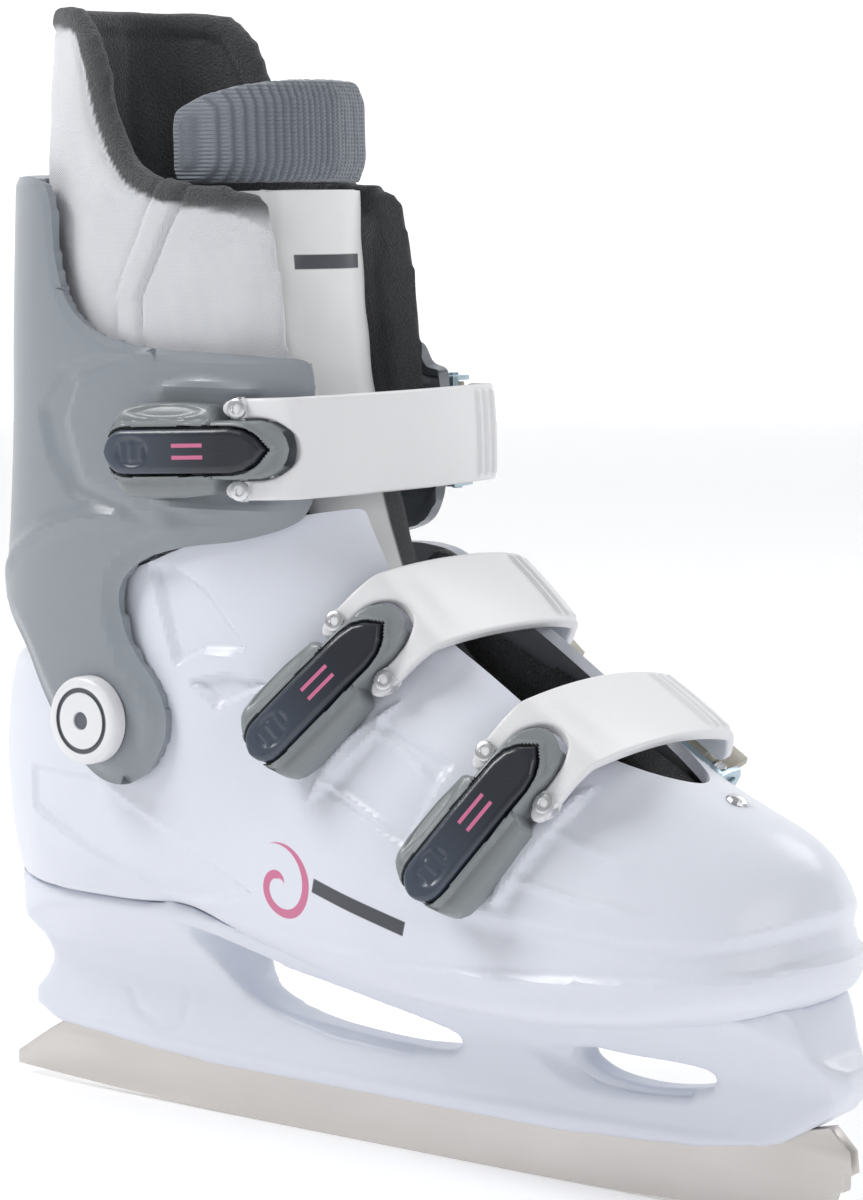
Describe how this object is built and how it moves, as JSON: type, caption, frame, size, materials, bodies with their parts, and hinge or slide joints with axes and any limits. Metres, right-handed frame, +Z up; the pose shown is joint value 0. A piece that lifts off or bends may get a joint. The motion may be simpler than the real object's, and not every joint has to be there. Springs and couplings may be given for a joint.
{
  "type": "ice skate",
  "caption": "Hard-shell buckle ice skate: moulded shell with bladed runner, hinged ankle cuff, padded liner and tongue, and lever buckles with locking straps.",
  "frame": {"origin": "middle of the flat of the blade's running edge, which rests on the ice", "axes": "+X towards the toe, +Y towards the inner (medial) side of this right foot, +Z up"},
  "size_m": [0.2925, 0.1219, 0.32],
  "materials": {
    "shell_plastic": "moulded, softly glossy",
    "strap_plastic": "moulded, satin",
    "cuff_plastic": "moulded, softly glossy",
    "lever_plastic": "moulded, satin",
    "button_plastic": "moulded, glossy",
    "release_plastic": "smoky, slightly see-through",
    "liner_fabric": "coated satin weave",
    "fleece": "brushed fleece",
    "rib_knit": "ribbed knit",
    "vinyl": "glossy coated vinyl",
    "blade_steel": "ground lengthwise",
    "zinc_steel": "blue zinc plated",
    "rivet_steel": "nickel plated"
  },
  "bodies": {
    "shell": {"shell": "shell_plastic", "blade_holder": "shell_plastic", "blade": "blade_steel", "holder_screw_1": "rivet_steel", "holder_screw_2": "rivet_steel", "holder_screw_3": "rivet_steel", "holder_screw_4": "rivet_steel", "liner_foot": "liner_fabric", "insole": "fleece", "tongue_lower": "fleece", "pivot_rivet_lateral": "rivet_steel", "pivot_washer_lateral": "strap_plastic", "pivot_cap_lateral": "strap_plastic", "pivot_rivet_medial": "rivet_steel", "pivot_washer_medial": "strap_plastic", "pivot_cap_medial": "strap_plastic", "toe_rivet": "rivet_steel", "middle_base": "lever_plastic", "middle_base_rivet": "rivet_steel", "middle_hinge_pin": "rivet_steel", "middle_catch_bracket": "zinc_steel", "middle_catch_pin": "zinc_steel", "middle_catch_spring": "rivet_steel", "middle_catch_rivet": "rivet_steel", "front_base": "lever_plastic", "front_base_rivet": "rivet_steel", "front_hinge_pin": "rivet_steel", "front_catch_bracket": "zinc_steel", "front_catch_pin": "zinc_steel", "front_catch_spring": "rivet_steel", "front_catch_rivet": "rivet_steel"},
    "cuff": {"cuff": "cuff_plastic", "liner_collar": "liner_fabric", "tongue_upper": "vinyl", "tongue_top_pad": "rib_knit", "top_base": "lever_plastic", "top_base_rivet": "rivet_steel", "top_hinge_pin": "rivet_steel", "top_catch_bracket": "zinc_steel", "top_catch_pin": "zinc_steel", "top_catch_spring": "rivet_steel", "top_catch_rivet": "rivet_steel"},
    "top_lever": {"top_lever": "lever_plastic", "top_strap_pin": "rivet_steel", "top_button_spring": "rivet_steel"},
    "top_lock_button": {"top_lock_button": "button_plastic"},
    "top_strap": {"top_strap": "strap_plastic"},
    "top_catch_lever": {"top_catch_lever": "release_plastic"},
    "middle_lever": {"middle_lever": "lever_plastic", "middle_strap_pin": "rivet_steel", "middle_button_spring": "rivet_steel"},
    "middle_lock_button": {"middle_lock_button": "button_plastic"},
    "middle_strap": {"middle_strap": "strap_plastic"},
    "middle_catch_lever": {"middle_catch_lever": "release_plastic"},
    "front_lever": {"front_lever": "lever_plastic", "front_strap_pin": "rivet_steel", "front_button_spring": "rivet_steel"},
    "front_lock_button": {"front_lock_button": "button_plastic"},
    "front_strap": {"front_strap": "strap_plastic"},
    "front_catch_lever": {"front_catch_lever": "release_plastic"}
  },
  "joints": [
    {"name": "cuff_hinge", "type": "hinge", "parent": "shell", "child": "cuff", "pos_m": [-0.074, 0, 0.12], "axis": [0, 1, 0], "range_deg": [-2, 8]},
    {"name": "top_lever_hinge", "type": "hinge", "parent": "cuff", "child": "top_lever", "pos_m": [-0.00909, -0.04496, 0.19826], "axis": [-0.0448, 0, 0.999], "range_deg": [0, 75]},
    {"name": "top_strap_hinge", "type": "hinge", "parent": "top_lever", "child": "top_strap", "pos_m": [-0.01671, -0.04796, 0.19792], "axis": [-0.0448, 0, 0.999], "range_deg": [-131.25, 0]},
    {"name": "top_button_rocker", "type": "hinge", "parent": "top_lever", "child": "top_lock_button", "pos_m": [-0.03213, -0.05286, 0.19723], "axis": [0.0448, 0, -0.999], "range_deg": [0, 4], "stiffness_Nm_per_rad": 0.05, "springref_deg": -1.15},
    {"name": "top_catch_release", "type": "hinge", "parent": "cuff", "child": "top_catch_lever", "pos_m": [-0.01852, 0.0493, 0.19784], "axis": [-0.0448, 0, 0.999], "range_deg": [0, 30], "stiffness_Nm_per_rad": 0.05, "springref_deg": -2.86},
    {"name": "middle_lever_hinge", "type": "hinge", "parent": "shell", "child": "middle_lever", "pos_m": [0.02125, -0.03469, 0.15057], "axis": [-0.7536, 0, 0.6573], "range_deg": [0, 75]},
    {"name": "middle_strap_hinge", "type": "hinge", "parent": "middle_lever", "child": "middle_strap", "pos_m": [0.01662, -0.03886, 0.14525], "axis": [-0.7536, 0, 0.6573], "range_deg": [-101.25, 0]},
    {"name": "middle_button_rocker", "type": "hinge", "parent": "middle_lever", "child": "middle_lock_button", "pos_m": [0.00711, -0.04616, 0.13436], "axis": [0.7536, 0, -0.6573], "range_deg": [0, 4], "stiffness_Nm_per_rad": 0.05, "springref_deg": -1.15},
    {"name": "middle_catch_release", "type": "hinge", "parent": "shell", "child": "middle_catch_lever", "pos_m": [0.01376, 0.04179, 0.14198], "axis": [-0.7536, 0, 0.6573], "range_deg": [0, 30], "stiffness_Nm_per_rad": 0.05, "springref_deg": -2.86},
    {"name": "front_lever_hinge", "type": "hinge", "parent": "shell", "child": "front_lever", "pos_m": [0.07188, -0.03573, 0.12205], "axis": [-0.8444, 0, 0.5357], "range_deg": [0, 75]},
    {"name": "front_strap_hinge", "type": "hinge", "parent": "front_lever", "child": "front_strap", "pos_m": [0.06832, -0.04053, 0.11643], "axis": [-0.8444, 0, 0.5357], "range_deg": [-131.25, 0]},
    {"name": "front_button_rocker", "type": "hinge", "parent": "front_lever", "child": "front_lock_button", "pos_m": [0.06096, -0.04911, 0.10483], "axis": [0.8444, 0, -0.5357], "range_deg": [0, 4], "stiffness_Nm_per_rad": 0.05, "springref_deg": -1.15},
    {"name": "front_catch_release", "type": "hinge", "parent": "shell", "child": "front_catch_lever", "pos_m": [0.06697, 0.0424, 0.1143], "axis": [-0.8444, 0, 0.5357], "range_deg": [0, 30], "stiffness_Nm_per_rad": 0.05, "springref_deg": -2.86}
  ],
  "couplings": [
    {"joint": "top_strap_hinge", "follows": "top_lever_hinge", "ratio": -1.75},
    {"joint": "middle_strap_hinge", "follows": "middle_lever_hinge", "ratio": -1.35},
    {"joint": "front_strap_hinge", "follows": "front_lever_hinge", "ratio": -1.75}
  ]
}
